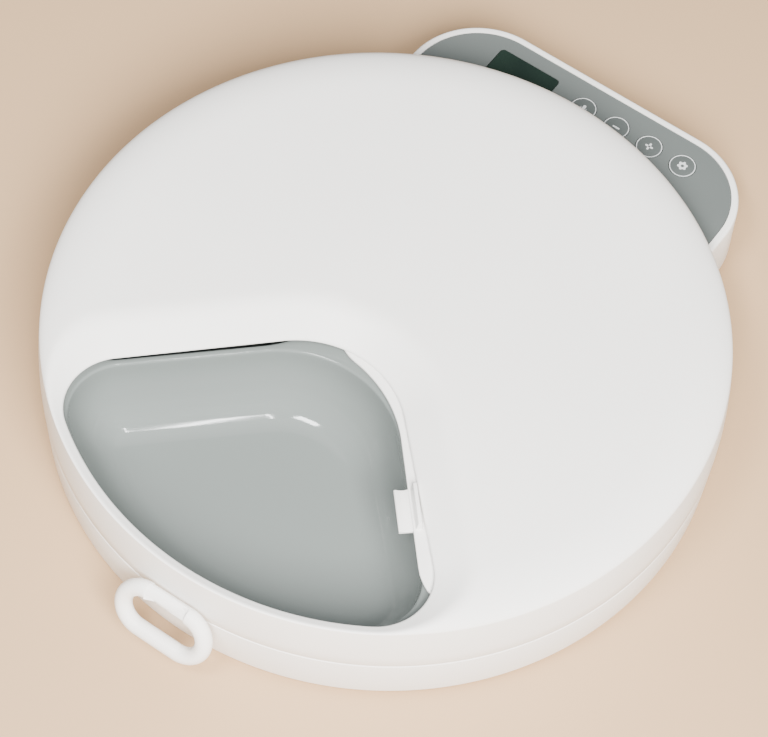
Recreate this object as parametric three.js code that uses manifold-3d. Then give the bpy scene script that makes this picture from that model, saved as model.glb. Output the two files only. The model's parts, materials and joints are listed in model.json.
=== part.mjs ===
// Automatic pet feeder: a round base with a motor-driven tray of four bowls under a lift-off lid.
// The lid has one serving opening with a hand-turned shutter, and a pull ring at its front. The
// base reaches back into a control housing with a display, four keys and the battery bay.
// Millimetres, +Z up, +Y towards the controls. The origin is the turntable axis at floor level.

import * as THREE from 'three';
import { mergeVertices } from 'three/addons/utils/BufferGeometryUtils.js';
import Module from 'manifold-3d';

const wasm = await Module();
wasm.setup();

// Driving dimensions ---------------------------------------------------------------------------

// Clearances
const gap = 0.3; // between pieces that touch or sit in each other
const lidClearance = 0.6; // between the lid's wall and the control housing

// Round body
const bodyRadius = 150;
const bodyFacets = 48;
const undersideZ = 2; // the shell's underside, lifted by the feet
const floorThickness = 2.5;
const wall = 2.7;
const jointZ = 28; // top of the base wall, where the lid sits
const lipHeight = 2.5;
const lipThickness = 2.3;
const lipRoot = 4; // how far below the joint the lip is rooted in the wall

// Lid
const lidTopZ = 61.5;
const shoulderWidth = 24; // from the lid's wall to its flat top
const lidFlatRadius = bodyRadius - shoulderWidth;
const shoulderDrop = 6.5;
const crestZ = lidTopZ - shoulderDrop; // upper edge of the lid's wall
const crestInset = 0.7;
const crestRadius = bodyRadius - crestInset;
const lidBulge = 0.3;
const lidSkin = 2.4; // under the top
const overlap = 0.1; // shared by two shapes that are joined into one solid

// Serving opening and the recess that slopes down to it
const openingHalfAngle = THREE.MathUtils.degToRad(45.35);
const openingTurn = -0.75; // degrees from the front axis, towards +X
const openingMargin = 5.5;
const openingRadius = bodyRadius - openingMargin;
const openingCorner = 24.5;
const openingApex = 18.6; // from the turntable axis to the nearest edge
const recessDepth = 8;
const openingEdgeZ = lidTopZ - recessDepth;
const openingEdgeThickness = 2;
const recessWidth = 16;

// Shutter
const shutterTopZ = openingEdgeZ - openingEdgeThickness - gap;
const shutterThickness = 1.7;
const shutterMargin = 3.8; // inside the lid's wall
const shutterRadius = bodyRadius - wall - shutterMargin;
const shutterHubRadius = 20.5;
const shutterLead = THREE.MathUtils.degToRad(41.7); // leading edge, from the front axis
const shutterSpan = THREE.MathUtils.degToRad(96);
const pivotRadius = 6;
const pivotFlange = 4; // the pivot's shoulder and its washer reach this far past it
const pivotScrewHole = 1.5;
const tabLength = 20;
const tabStart = 78.5; // from the turntable axis
const tabReach = 6; // how far the finger pad stands over the bowl
const tabRibHeight = 4.4;
const tabRibTopZ = shutterTopZ + tabRibHeight;

// Gear motor
const motorRadius = 18;
const motorHeight = 15.5;
const motorNose = 2.2;
const shaftRadius = 3;
const motorEarReach = 5.5; // from the motor's can to its ears' screws
const motorEarSpacing = 2 * (motorRadius + motorEarReach);
const motorScrewHole = 1.7;

// Turntable and drive
const turntableRise = 9;
const turntableTopZ = undersideZ + floorThickness + turntableRise;
const turntableThickness = 2;
const turntableRadius = 114;
const bellSkin = 2.2;
const bellMargin = 3.4; // around the motor
const bellHeadroom = 1.3; // over the motor's nose
const bellRadius = motorRadius + bellMargin + bellSkin;
const bellTopZ = undersideZ + floorThickness + gap + motorHeight + motorNose + bellHeadroom + bellSkin;
const glideInset = 14;
const glideTrack = turntableRadius - glideInset; // radius of the circle that the buttons stand on
const glideRadius = 4.5;
const glideHeadHeight = 1.9;
const glideStemRadius = 2.5;
const glideBossRadius = 5.5;
const magnetInset = 5;
const magnetTrack = turntableRadius - magnetInset;
const magnetRadius = 2.5;

// Food tray
const bowlCount = 4;
const shutterOverTray = 1.9;
const trayRimZ = shutterTopZ - shutterThickness - shutterOverTray;
const trayMargin = 1.8; // inside the lid's wall
const trayRadius = bodyRadius - wall - trayMargin;
const traySkin = 2;
const trayFlange = 2.5;
const bowlRadius = trayRadius - trayFlange;
const bowlCorner = 24;
const bellToBowl = 0.4;
const bowlApex = bellRadius + bellToBowl;
const webWidth = 3.5;
const webOverlap = 0.2; // how far the skins of two neighbouring bowls run into each other
const bowlFloorZ = turntableTopZ + gap + traySkin;
const bowlSweep = 21; // how far the wall curves in to meet the bowl's floor
const hubDishRadius = 18;
const hubDishDepth = 4.6;
const hubDishZ = trayRimZ - hubDishDepth;
const couplingAcross = 17; // across the flats of the square drive
const couplingWall = 2.5; // around the corners of the tray's square socket
const couplingHeadroom = 3;
const couplingTopZ = hubDishZ - traySkin - couplingHeadroom;
const trayTurn = -1.7; // degrees, how the bowls stand at rest from the front axis

// Battery bay, around two rows of two cells. It reaches in under the bowls' curved skin.
const cellRadius = 7.2;
const cellLength = 50.4;
const cellSpacing = 0.6;
const bayHeadroom = 1.2;
const bayRoofZ = undersideZ + floorThickness + gap + 2 * cellRadius + bayHeadroom;
const bayFrontWall = 1.8;
const bowlSkinFootZ = bowlFloorZ - traySkin;
const sweptRise = Math.min((bayRoofZ + bayFrontWall - bowlSkinFootZ) / bowlSweep, 1);
const bowlInset = bowlSweep * (1 - Math.sqrt(1 - (1 - sweptRise) ** 2));
const bayToBowl = 0.2;
const bayFrontY = bowlRadius + traySkin - bowlInset + bayToBowl + bayFrontWall;
const frontCellY = bayFrontY + cellSpacing + cellRadius;
const rearCellY = frontCellY + 2 * cellRadius + cellSpacing;
const cellRowsY = [frontCellY, rearCellY];
const bayRearSpace = 4.7; // for the door's latch behind the cells
const bayRearY = rearCellY + cellRadius + bayRearSpace;
const bayRearWall = 5.1;
const contactSpace = 5.6; // for the contact plate at each end of the cells
const bayHalfWidth = cellLength + contactSpace;

// Control housing behind the body
const housingRearY = bayRearY + bayRearWall;
const housingHalfWidth = 86;
const housingCorner = 37.8;
const housingRise = 5; // over the joint between base and lid
const housingTopZ = jointZ + housingRise;
const rimWidth = 3.3;
const ledgeWidth = 1.3;
const faceplateThickness = 1.6;
const faceplateDrop = 0.2; // below the rim
const keyRadius = 6.3;
const keyRowInset = 17.6;
const keyRowY = housingRearY - keyRowInset;
const keyPitch = 18.1;
const lastKeyX = 49.7;
const displayLeft = -54;
const displayWidth = 32;
const displayDepth = 17.2;
const displayInset = 10.9;
const displayMax = [displayLeft + displayWidth, housingRearY - displayInset];
const displayMin = [displayLeft, displayMax[1] - displayDepth];
const boardDepth = 8.1; // from the housing's top to the circuit board's underside
const boardZ = housingTopZ - boardDepth;
const boardThickness = 1.6;
const boardPostRadius = 2.6;
const boardScrewHole = 1.1;
const speakerRadius = 9;
const speakerHoleRadius = 1;
const speakerHoleTrack = 5;

// Pull ring
const ringStandoff = 5;
const ringAxisY = -bodyRadius - ringStandoff;
const ringRise = 8; // over the joint between base and lid
const ringAxisZ = jointZ + ringRise;
const ringStraight = 19.4;
const ringEndRadius = 10.65;
const ringTube = 3.8;
const ringBar = 2.6;
const barrelWall = 1.8;
const barrelRadius = ringBar + gap + barrelWall;
const ringLean = THREE.MathUtils.degToRad(22); // how far the hanging ring stands out at its foot

// Feet
const footRadius = 9;
const centreFootRadius = 12;
const footInset = 25;
const footTrack = bodyRadius - footInset;
const footRecess = 1.2;

// Solids ---------------------------------------------------------------------------------------

function solid(geometry) {
  geometry.deleteAttribute('normal');
  geometry.deleteAttribute('uv');
  const merged = mergeVertices(geometry, 1e-3);
  const index = merged.index.array;
  const points = merged.attributes.position.array;
  const kept = [];
  let volume = 0;
  const corner = (i) => new THREE.Vector3().fromArray(points, 3 * i);
  for (let i = 0; i < index.length; i += 3) {
    const [a, b, c] = [index[i], index[i + 1], index[i + 2]];
    if (a !== b && b !== c && c !== a) {
      kept.push(a, b, c);
      volume += corner(a).dot(corner(b).cross(corner(c)));
    }
  }
  if (volume < 0) {
    kept.reverse();
  }
  const shell = { numProp: 3, vertProperties: new Float32Array(points), triVerts: new Uint32Array(kept) };
  return new wasm.Manifold(new wasm.Mesh(shell));
}

function lathe(profile, facets = bodyFacets) {
  const points = profile.map(([r, z]) => new THREE.Vector2(r, z));
  return solid(new THREE.LatheGeometry(points, facets).rotateX(Math.PI / 2));
}

function disc(radius, low, high, facets = 24, x = 0, y = 0) {
  const shape = new THREE.CylinderGeometry(radius, radius, high - low, facets);
  return solid(shape.rotateX(Math.PI / 2).translate(x, y, (low + high) / 2));
}

function box(low, high) {
  const [width, depth, height] = high.map((top, i) => top - low[i]);
  const middle = high.map((top, i) => (top + low[i]) / 2);
  return solid(new THREE.BoxGeometry(width, depth, height).translate(...middle));
}

function rodAlongX(radius, low, high, y, z, facets = 20) {
  const shape = new THREE.CylinderGeometry(radius, radius, high - low, facets);
  return solid(shape.rotateZ(Math.PI / 2).translate((low + high) / 2, y, z));
}

function prism(shape, low, high, curveSegments = 6) {
  const settings = { depth: high - low, bevelEnabled: false, curveSegments };
  return solid(new THREE.ExtrudeGeometry(shape, settings).translate(0, 0, low));
}

// The outline grows from `inset` less at z = low to its own size at z = low + rise.
function flared(shape, low, rise, reach, { inset = 0, depth = 10, steps = 1, curveSegments = 5 } = {}) {
  const settings = {
    depth,
    bevelThickness: rise,
    bevelSize: reach,
    bevelOffset: -inset,
    bevelSegments: steps,
    curveSegments,
  };
  return solid(new THREE.ExtrudeGeometry(shape, settings).translate(0, 0, low + rise));
}

function turned(body, degrees) {
  return body.rotate([0, 0, degrees]);
}

// Outlines -------------------------------------------------------------------------------------

// A rounded sector about the front axis: two sides, an outer arc, two corners and a round apex.
function sectorOutline(halfAngle, sideInset, radius, corner, apex) {
  const centre = (apex - sideInset) / (1 - Math.sin(halfAngle));
  const apexRadius = centre - apex;
  const cornerTrack = radius - corner;
  const cornerAngle = halfAngle - Math.asin((sideInset + corner) / cornerTrack);
  const cornerX = cornerTrack * Math.sin(cornerAngle);
  const cornerY = -cornerTrack * Math.cos(cornerAngle);
  const quarter = Math.PI / 2;
  const outline = new THREE.Shape();
  outline.absarc(0, -centre, apexRadius, Math.PI - halfAngle, halfAngle, true);
  outline.absarc(cornerX, cornerY, corner, halfAngle, cornerAngle - quarter, true);
  outline.absarc(0, 0, radius, cornerAngle - quarter, -cornerAngle - quarter, true);
  outline.absarc(-cornerX, cornerY, corner, -cornerAngle - quarter, -Math.PI - halfAngle, true);
  outline.closePath();
  return outline;
}

function polar(radius, angle) {
  return [radius * Math.sin(angle), -radius * Math.cos(angle)];
}

// A hub with one wide blade. Angles run from the front axis towards +X.
function bladeOutline() {
  const quarter = Math.PI / 2;
  const leadFillet = 63;
  const trailFillet = 12;
  const corner = openingCorner;
  const trail = shutterLead + shutterSpan;
  const leadTurn = shutterLead - Math.asin(leadFillet / (shutterHubRadius + leadFillet));
  const trailTurn = trail + Math.asin(trailFillet / (shutterHubRadius + trailFillet));
  const cornerTurn = Math.asin(corner / (shutterRadius - corner));
  const first = shutterLead + cornerTurn;
  const last = trail - cornerTurn;
  const outline = new THREE.Shape();
  const leadCentre = polar(shutterHubRadius + leadFillet, leadTurn);
  const trailCentre = polar(shutterHubRadius + trailFillet, trailTurn);
  outline.absarc(...leadCentre, leadFillet, leadTurn + quarter, shutterLead, true);
  const firstCentre = polar(shutterRadius - corner, first);
  const lastCentre = polar(shutterRadius - corner, last);
  outline.absarc(...firstCentre, corner, shutterLead + Math.PI, first + 1.5 * Math.PI, false);
  outline.absarc(0, 0, shutterRadius, first - quarter, last - quarter, false);
  outline.absarc(...lastCentre, corner, last - quarter, trail, false);
  outline.absarc(...trailCentre, trailFillet, trail - Math.PI, trailTurn - 1.5 * Math.PI, true);
  outline.absarc(0, 0, shutterHubRadius, trailTurn - quarter, leadTurn + 1.5 * Math.PI, false);
  outline.closePath();
  return outline;
}

// The control housing seen from above, drawn in from its outer face by `inset`.
function housingOutline(inset) {
  const side = housingHalfWidth - inset;
  const rear = housingRearY - inset;
  const corner = housingCorner - inset;
  const front = bodyRadius / 2;
  const outline = new THREE.Shape();
  outline.moveTo(-side, front);
  outline.lineTo(side, front);
  outline.absarc(side - corner, rear - corner, corner, 0, Math.PI / 2, false);
  outline.absarc(corner - side, rear - corner, corner, Math.PI / 2, Math.PI, false);
  outline.closePath();
  return outline;
}

function roundedRectangle([left, near], [right, far], corner) {
  const outline = new THREE.Shape();
  outline.absarc(right - corner, far - corner, corner, 0, Math.PI / 2, false);
  outline.absarc(left + corner, far - corner, corner, Math.PI / 2, Math.PI, false);
  outline.absarc(left + corner, near + corner, corner, Math.PI, 1.5 * Math.PI, false);
  outline.absarc(right - corner, near + corner, corner, 1.5 * Math.PI, 2 * Math.PI, false);
  outline.closePath();
  return outline;
}

// Materials ------------------------------------------------------------------------------------

function finish(color, roughness, metalness = 0) {
  return new THREE.MeshStandardMaterial({ color, roughness, metalness });
}

const whiteShell = finish(0xe6e5e2, 0.42);
const greyTray = finish(0xa3adac, 0.16);
const greyPanel = finish(0x90999b, 0.45);
const darkLens = finish(0x18231f, 0.1);
const rubber = finish(0x8d9091, 0.85);
const steel = finish(0xb9bcc0, 0.3, 1);
const board = finish(0x1d5b3a, 0.5);
const blackPlastic = finish(0x1e1f21, 0.45);
const whiteInner = finish(0xd9d9d6, 0.5);
const cellSleeve = finish(0x3a6a8c, 0.35, 0.3);
const magnetNickel = finish(0xc9ccd0, 0.2, 1);

// Assembly -------------------------------------------------------------------------------------

const group = new THREE.Group();

function place(name, body, material, position = [0, 0, 0], rotation = [0, 0, 0], parent = group) {
  const { vertProperties, triVerts } = body.getMesh();
  const geometry = new THREE.BufferGeometry();
  geometry.setAttribute('position', new THREE.BufferAttribute(new Float32Array(vertProperties), 3));
  geometry.setIndex(new THREE.BufferAttribute(new Uint32Array(triVerts), 1));
  geometry.computeVertexNormals();
  const mesh = new THREE.Mesh(geometry, material);
  mesh.name = name;
  mesh.position.set(...position);
  mesh.rotation.set(...rotation);
  parent.add(mesh);
  return mesh;
}

// Shared places --------------------------------------------------------------------------------

const floorZ = undersideZ + floorThickness;
const innerRadius = bodyRadius - wall;
const ledgeZ = housingTopZ - faceplateDrop - faceplateThickness - gap;
const faceplateZ = ledgeZ + gap;
const housingFrontRadius = bodyRadius + lidBulge + lidClearance;
const housingFrontWall = 1.8;
const glideTopZ = turntableTopZ - turntableThickness - gap;
const glideBossTopZ = glideTopZ - glideHeadHeight - gap;
const glideStemFootZ = floorZ + 1;
const diagonalAngles = [45, 135, 225, 315];
const quarterAngles = [0, 90, 180, 270];
const keyNames = ['key_microphone', 'key_minus', 'key_plus', 'key_settings'];
const keyXs = keyNames.map((name, i) => lastKeyX - keyPitch * (keyNames.length - 1 - i));
const boardTopZ = boardZ + boardThickness;
const boardHalfWidth = housingHalfWidth - 16;
const postX = boardHalfWidth - 6;
const postPlaces = [[-postX, keyRowY - 2], [postX, keyRowY - 2], [-13, keyRowY + 9]];
const speakerPlace = [housingHalfWidth - 18, keyRowY - 13];
const jackZ = 14;
const jackNoseRadius = 4.2;
const jackHalfDepth = 4.6;
const jackLength = 9;
const jackMargin = 2.03; // from the wall around the lid to the power inlet's nearest corner
const jackWall = housingHalfWidth - rimWidth - ledgeWidth;
const jackCornerX = jackWall - gap - jackLength;
const jackCornerRadius = housingFrontRadius + housingFrontWall + jackMargin;
const jackY = Math.sqrt(jackCornerRadius ** 2 - jackCornerX ** 2) + jackHalfDepth;
const doorFlangeHalfWidth = bayHalfWidth;
const doorHalfWidth = doorFlangeHalfWidth - 2;
const doorStepZ = undersideZ + 1.4;
function ringOfPlaces(radius, angles) {
  const turns = angles.map((angle) => THREE.MathUtils.degToRad(angle));
  return turns.map((turn) => [radius * Math.cos(turn), radius * Math.sin(turn)]);
}
const footPlaces = ringOfPlaces(footTrack, diagonalAngles);
const glidePlaces = ringOfPlaces(glideTrack, diagonalAngles);

// Base housing: round well, control housing, battery bay and the bosses of the glide buttons -----

function glideBoss([x, y]) {
  const hole = disc(glideStemRadius + gap, glideStemFootZ - gap, glideBossTopZ + 1, 16, x, y);
  return disc(glideBossRadius, floorZ - gap, glideBossTopZ, 20, x, y).subtract(hole);
}

function baseHousing() {
  const footBevel = 1.5;
  const round = lathe([
    [0, undersideZ],
    [bodyRadius - 2 * footBevel, undersideZ],
    [bodyRadius - footBevel + 0.5, undersideZ + footBevel],
    [bodyRadius, jointZ],
    [0, jointZ],
  ]);
  const lipRadius = innerRadius - gap;
  const lipInner = lipRadius - lipThickness;
  const lip = lathe([
    [lipInner, jointZ - lipRoot],
    [innerRadius + 1, jointZ - lipRoot],
    [innerRadius + 1, jointZ - 1],
    [lipRadius, jointZ - 1],
    [lipRadius, jointZ + lipHeight],
    [lipInner, jointZ + lipHeight],
    [lipInner, jointZ - lipRoot],
  ]);
  const bayShell = box(
    [-bayHalfWidth - bayFrontWall, bayFrontY - bayFrontWall, 0],
    [bayHalfWidth + bayFrontWall, housingRearY, bayRoofZ + bayFrontWall],
  );
  const well = disc(innerRadius, floorZ, jointZ + 20, bodyFacets).subtract(bayShell);
  const frontColumn = disc(housingFrontRadius + housingFrontWall, 0, housingTopZ + 1, bodyFacets);
  const lidSpace = disc(housingFrontRadius, jointZ, housingTopZ + 1, bodyFacets);
  const housing = prism(housingOutline(0), undersideZ, housingTopZ).subtract(lidSpace);
  const chamber = prism(housingOutline(rimWidth + ledgeWidth), floorZ, housingTopZ + 1);
  const plateSeat = prism(housingOutline(rimWidth), ledgeZ, housingTopZ + 1);
  const bay = box([-bayHalfWidth, bayFrontY, floorZ - gap], [bayHalfWidth, bayRearY, bayRoofZ]);
  const lowerDoorway = box(
    [-doorHalfWidth - gap, bayFrontY + gap, 0],
    [doorHalfWidth + gap, housingRearY + 1, doorStepZ],
  );
  const upperDoorway = box(
    [-doorFlangeHalfWidth - gap, bayFrontY, doorStepZ - gap],
    [doorFlangeHalfWidth + gap, housingRearY + 1, floorZ + gap],
  );
  let body = round.add(housing).subtract(well);
  body = body.subtract(chamber.subtract(frontColumn)).subtract(plateSeat.subtract(lidSpace));
  body = body.add(lip);
  body = body.subtract(bay).subtract(lowerDoorway).subtract(upperDoorway);
  glidePlaces.forEach((spot) => {
    body = body.add(glideBoss(spot));
  });
  footPlaces.forEach(([x, y]) => {
    body = body.subtract(disc(footRadius + gap, 0, undersideZ + footRecess, 20, x, y));
  });
  body = body.subtract(disc(centreFootRadius + gap, 0, undersideZ + footRecess, 24));
  [-1, 1].forEach((side) => {
    body = body.subtract(disc(motorScrewHole, 0, floorZ + 1, 12, (side * motorEarSpacing) / 2, 0));
  });
  const holeAngles = [0, 60, 120, 180, 240, 300];
  const speakerHoles = [[0, 0], ...ringOfPlaces(speakerHoleTrack, holeAngles)];
  speakerHoles.forEach(([x, y]) => {
    const [holeX, holeY] = [speakerPlace[0] + x, speakerPlace[1] + y];
    body = body.subtract(disc(speakerHoleRadius, 0, floorZ + 1, 8, holeX, holeY));
  });
  const jackHoleRadius = jackNoseRadius + gap;
  const jackHole = rodAlongX(jackHoleRadius, -housingHalfWidth - 1, -housingHalfWidth + 6, jackY, jackZ);
  return body.subtract(jackHole);
}

place('base_housing', baseHousing(), whiteShell);

// Battery door, slid in from the rear under the battery bay
const doorFrontY = bayFrontY + 1;
const doorPlate = box(
  [-doorHalfWidth, doorFrontY, undersideZ],
  [doorHalfWidth, housingRearY, doorStepZ + overlap],
);
const doorFlange = box(
  [-doorFlangeHalfWidth, doorFrontY, doorStepZ],
  [doorFlangeHalfWidth, housingRearY, floorZ],
);
const doorOutline = prism(housingOutline(0.2), 0, housingTopZ);
place('battery_door', doorPlate.add(doorFlange).intersect(doorOutline), whiteShell);

// Battery cells and the contact plates at both ends of the bay
const cellZ = floorZ + gap + cellRadius;
const cell = rodAlongX(cellRadius, -cellLength / 2, cellLength / 2 - 1.2, 0, 0)
  .add(rodAlongX(2.6, cellLength / 2 - 1.3, cellLength / 2, 0, 0, 12));
cellRowsY.forEach((y, row) => {
  [-1, 1].forEach((side, column) => {
    const x = side * (cellLength / 2 + gap);
    place(`battery_cell_${2 * row + column + 1}`, cell, cellSleeve, [x, y, cellZ]);
  });
});
const contactThickness = 0.8;
const contactX = cellLength + 3 * gap;
[['battery_contact_left', -1], ['battery_contact_right', 1]].forEach(([name, side]) => {
  const edges = [side * contactX, side * (contactX + contactThickness)].sort((a, b) => a - b);
  const near = cellRowsY[0] - cellRadius + 1;
  const far = cellRowsY[1] + cellRadius - 1;
  place(name, box([edges[0], near, cellZ - 5], [edges[1], far, cellZ + 5]), steel);
});

// Feet
const foot = disc(footRadius, 0, undersideZ + footRecess - gap, 20);
const footNames = ['foot_rear_right', 'foot_rear_left', 'foot_front_left', 'foot_front_right'];
footNames.forEach((name, i) => place(name, foot, rubber, [...footPlaces[i], 0]));
place('foot_centre', disc(centreFootRadius, 0, undersideZ + footRecess - gap), rubber);

// Gear motor, its output shaft and its two screws ------------------------------------------------

const motorZ = floorZ + gap;
const motorTopZ = motorZ + motorHeight;
const noseTopZ = motorTopZ + motorNose;
const shaftFootZ = motorZ + 7.5;
const motorEar = 2;
const motorCan = lathe([
  [0, motorZ],
  [motorRadius, motorZ],
  [motorRadius, motorTopZ - 1.5],
  [motorRadius - 1.5, motorTopZ],
  [shaftRadius + 2.5, motorTopZ],
  [shaftRadius + 2.5, noseTopZ],
  [shaftRadius + gap, noseTopZ],
  [shaftRadius + gap, shaftFootZ - gap],
  [0, shaftFootZ - gap],
], 24);
const earHalf = motorEarSpacing / 2;
let motor = motorCan.add(
  prism(roundedRectangle([-earHalf - 4, -5], [earHalf + 4, 5], 3), motorZ, motorZ + motorEar, 2)
    .subtract(disc(motorRadius - 2, 0, motorTopZ)),
);
[-1, 1].forEach((side) => {
  motor = motor.subtract(disc(motorScrewHole, 0, motorZ + motorEar + 1, 12, side * earHalf, 0));
});
place('gear_motor', motor, blackPlastic);

function screw(headRadius, headHeight, shankRadius, shankLength) {
  return lathe([
    [0, -shankLength],
    [shankRadius, -shankLength],
    [shankRadius, 0],
    [headRadius, 0],
    [headRadius, headHeight * 0.5],
    [headRadius * 0.75, headHeight],
    [0, headHeight],
  ], 12);
}

const motorScrew = screw(3, 1.9, motorScrewHole - gap, motorZ + motorEar + gap - undersideZ - 0.6);
[-1, 1].forEach((side, i) => {
  place(`motor_screw_${i + 1}`, motorScrew, steel, [side * earHalf, 0, motorZ + motorEar + gap]);
});

const flatDepth = 0.8;
const shaftTopZ = bellTopZ + 6;
function shaftBody(radius, low, high, flatFrom) {
  const flat = box([-radius - 1, radius - flatDepth, flatFrom], [radius + 1, radius + 1, high + 1]);
  return disc(radius, low, high, 20).subtract(flat);
}
place('motor_shaft', shaftBody(shaftRadius, shaftFootZ, shaftTopZ, noseTopZ + 1), steel);

// Turntable: disc, bell over the motor and square drive ------------------------------------------

const turntableZ = turntableTopZ - turntableThickness;
const bellInner = bellRadius - bellSkin;
const bellCeilingZ = bellTopZ - bellSkin;
const magnetRecess = 1.2;
function squareDrive(across, low, high) {
  const half = across / 2;
  return turned(box([-half, -half, low], [half, half, high]), trayTurn);
}
function turntableBody() {
  let body = lathe([
    [0, bellCeilingZ],
    [bellInner, bellCeilingZ],
    [bellInner, turntableZ],
    [turntableRadius, turntableZ],
    [turntableRadius, turntableTopZ],
    [bellRadius, turntableTopZ],
    [bellRadius, bellTopZ],
    [0, bellTopZ],
  ], 48);
  body = body.add(squareDrive(couplingAcross, bellTopZ - 1, couplingTopZ));
  const bore = shaftBody(shaftRadius + gap, bellCeilingZ - 1, shaftTopZ + gap, bellCeilingZ - 2);
  body = body.subtract(bore);
  quarterAngles.forEach((angle) => {
    const pocket = disc(magnetRadius + gap, turntableZ - 1, turntableZ + magnetRecess, 16, magnetTrack, 0);
    body = body.subtract(turned(pocket, angle));
  });
  return body;
}
place('turntable', turntableBody(), whiteInner);

const magnet = disc(magnetRadius, 0, magnetRecess - gap, 16);
ringOfPlaces(magnetTrack, quarterAngles).forEach((spot, i) => {
  place(`index_magnet_${i + 1}`, magnet, magnetNickel, [...spot, turntableZ]);
});

// Glide buttons that the turntable's rim slides on, each pressed into its boss in the floor
const glideEdge = 0.6;
const glideButton = lathe([
  [0, glideStemFootZ],
  [glideStemRadius, glideStemFootZ],
  [glideStemRadius, glideBossTopZ + gap],
  [glideRadius, glideBossTopZ + gap],
  [glideRadius, glideTopZ - glideEdge],
  [glideRadius - glideEdge, glideTopZ],
  [0, glideTopZ],
], 20);
glidePlaces.forEach((spot, i) => {
  place(`glide_button_${i + 1}`, glideButton, blackPlastic, [...spot, 0]);
});

// Position sensor under the rear magnet
const sensor = box([-7, magnetTrack - 9, floorZ + gap], [7, magnetTrack + 6, floorZ + gap + boardThickness])
  .add(box([-2, magnetTrack - 2, floorZ + gap + 1], [2, magnetTrack + 2, floorZ + gap + 3.6]));
place('position_sensor', sensor, board);

// Food tray: four bowls, the webs between them and the hub socket --------------------------------

function bowlSolid(grow, low, trim) {
  const side = grow > 0 ? -webOverlap : webWidth / 2;
  const outline = sectorOutline(Math.PI / 4, side, bowlRadius + grow, bowlCorner + grow, bowlApex - grow);
  const settings = { inset: bowlSweep, depth: trayRimZ + 2 - low - bowlSweep, steps: 3, curveSegments: 3 };
  const shape = flared(outline, low, bowlSweep, bowlSweep, settings);
  return trim ? shape.intersect(disc(trayRadius, 0, trayRimZ - 1, bodyFacets)) : shape;
}

function foodTray() {
  const hubRadius = hubDishRadius + traySkin;
  const hubFloor = hubDishZ - traySkin;
  const socketRadius = (couplingAcross / 2) * Math.SQRT2 + couplingWall;
  let body = disc(trayRadius, trayRimZ - traySkin, trayRimZ, bodyFacets);
  body = body.add(disc(hubRadius, hubFloor, trayRimZ, 40));
  body = body.add(disc(socketRadius, bellTopZ + 1, hubFloor + 1, 32));
  const outer = bowlSolid(traySkin, bowlFloorZ - traySkin, true);
  const inner = bowlSolid(0, bowlFloorZ, false);
  for (let i = 0; i < bowlCount; i += 1) {
    body = body.add(turned(outer, trayTurn + (i * 360) / bowlCount));
  }
  for (let i = 0; i < bowlCount; i += 1) {
    body = body.subtract(turned(inner, trayTurn + (i * 360) / bowlCount));
  }
  body = body.subtract(disc(hubDishRadius, hubDishZ, trayRimZ + 1, 40));
  return body.subtract(squareDrive(couplingAcross + 2 * gap, 0, couplingTopZ + 1));
}
place('food_tray', foodTray(), greyTray);

// Lid, with the serving opening and its sloping recess ------------------------------------------

const openingOutline = sectorOutline(openingHalfAngle, 0, openingRadius, openingCorner, openingApex);
const recessRise = lidTopZ - openingEdgeZ;
const lidFootZ = jointZ + gap;

// The lid's turned profile, drawn in by `inset` under the top and by `wallInset` at the wall.
function lidProfile(inset, wallInset) {
  const shoulder = 5;
  const footZ = inset > 0 ? jointZ : lidFootZ;
  const points = [[0, footZ], [bodyRadius - wallInset, footZ]];
  points.push([bodyRadius + lidBulge - wallInset, (lidFootZ + crestZ) / 2]);
  points.push([bodyRadius - wallInset, crestZ - 3 - inset / 2]);
  const run = crestRadius - 1 - lidFlatRadius;
  for (let i = 0; i <= shoulder; i += 1) {
    const turn = (i / shoulder) * (Math.PI / 2);
    const r = lidFlatRadius + run * Math.cos(turn);
    const z = crestZ + (lidTopZ - crestZ) * Math.sin(turn) ** 1.15;
    points.push([r - inset * Math.cos(turn), z - inset]);
  }
  points.push([0, lidTopZ - inset]);
  return points;
}

function lidCover() {
  const outer = lathe(lidProfile(0, 0));
  const hollow = lathe(lidProfile(lidSkin, wall));
  const funnel = flared(openingOutline, openingEdgeZ, recessRise, recessWidth, { curveSegments: 4 });
  const keepZ = openingEdgeZ - openingEdgeThickness;
  const keepSettings = { inset: -1.5, curveSegments: 4 };
  const keep = flared(openingOutline, keepZ, recessRise, recessWidth, keepSettings);
  const through = prism(openingOutline, jointZ, lidTopZ + 1, 4);
  const pivotFootZ = shutterTopZ - shutterThickness - gap;
  const skin = outer.subtract(turned(funnel, openingTurn));
  const stopZ = shutterTopZ + gap;
  const pivotShoulder = disc(pivotRadius + pivotFlange, stopZ, lidTopZ, 20);
  const pivot = disc(pivotRadius, pivotFootZ, lidTopZ, 20).add(pivotShoulder);
  return skin
    .subtract(hollow.subtract(turned(keep, openingTurn)))
    .subtract(turned(through, openingTurn))
    .add(pivot.intersect(skin.add(disc(pivotRadius, 0, stopZ + 1, 20))))
    .subtract(disc(pivotScrewHole, pivotFootZ - 1, pivotFootZ + 6, 8));
}
place('lid_cover', lidCover(), whiteShell);

// Shutter, turned by hand under the lid about a pivot at its centre, with a finger tab
const shutterZ = shutterTopZ - shutterThickness;
function shutterBody() {
  const blade = prism(bladeOutline(), shutterZ, shutterTopZ, 5);
  const padFootZ = trayRimZ + 0.7;
  const ribNear = 1.4;
  const ribFar = 3.7;
  const lead = THREE.MathUtils.radToDeg(shutterLead) - 90;
  const pad = box([tabStart, -tabReach, padFootZ], [tabStart + tabLength, ribFar, shutterTopZ]);
  const rib = box([tabStart, ribNear, shutterTopZ - 1], [tabStart + tabLength, ribFar, tabRibTopZ]);
  const bore = disc(pivotRadius + gap, 0, lidTopZ, 20);
  return blade.add(turned(pad.add(rib), lead)).subtract(bore);
}
place('shutter', shutterBody(), whiteShell);

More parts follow.
